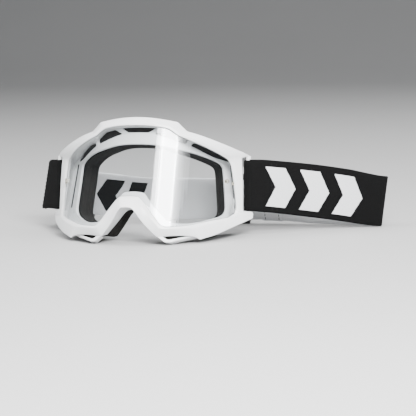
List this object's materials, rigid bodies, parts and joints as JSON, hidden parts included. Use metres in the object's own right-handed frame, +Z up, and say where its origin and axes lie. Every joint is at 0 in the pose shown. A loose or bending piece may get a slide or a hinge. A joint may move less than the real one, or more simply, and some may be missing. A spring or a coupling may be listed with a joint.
{
  "type": "motocross goggles",
  "caption": "Motocross goggles with a white frame, clear cylindrical lens, layered face foam and a wide elastic strap folded to one side.",
  "frame": {"origin": "on the resting surface, under the middle of the nose opening", "axes": "+X to the wearer's left, +Y from the lens towards the face, +Z up from the resting surface"},
  "size_m": [0.3205, 0.1519, 0.1089],
  "materials": {
    "frame_white": "satin moulded polyurethane",
    "lens_clear": "clear polycarbonate",
    "filter_foam": "open-cell foam",
    "face_foam": "open-cell foam",
    "fleece": "short fleece",
    "elastic": "woven elastic, black outside with white figures, light grey inside",
    "thread": "polyester thread",
    "adjuster_black": "satin moulded"
  },
  "bodies": {
    "root": {"frame_shell": "frame_white", "face_flange": "frame_white", "strap_bar_left": "frame_white", "strap_bar_right": "frame_white", "vent_blade_left": "frame_white", "vent_blade_right": "frame_white", "top_filter_foam": "filter_foam", "side_filter_foam_left": "filter_foam", "side_filter_foam_right": "filter_foam", "bottom_filter_foam_left": "filter_foam", "bottom_filter_foam_right": "filter_foam", "face_foam_base": "face_foam", "face_foam_soft": "face_foam", "face_fleece": "fleece", "strap_left": "elastic", "strap_right": "elastic", "strap_back": "elastic", "strap_loop_left": "elastic", "strap_loop_right": "elastic", "strap_join": "elastic", "loop_stitching": "thread", "join_stitching": "thread"},
    "lens_unit": {"lens": "lens_clear", "tear_off_post_left": "lens_clear", "tear_off_post_right": "lens_clear"},
    "left_adjuster": {"adjuster_left": "adjuster_black"},
    "right_adjuster": {"adjuster_right": "adjuster_black"}
  },
  "joints": [
    {"name": "lens_release", "type": "slide", "parent": "root", "child": "lens_unit", "axis": [0, -0.9397, 0.342], "range_m": [0, 0.03]},
    {"name": "left_adjuster_slide", "type": "slide", "parent": "root", "child": "left_adjuster", "axis": [0.9994, 0.0349, 0], "range_m": [-0.007, 0.007]},
    {"name": "right_adjuster_slide", "type": "slide", "parent": "root", "child": "right_adjuster", "axis": [0.9709, 0.2064, -0.1219], "range_m": [-0.007, 0.007]}
  ]
}
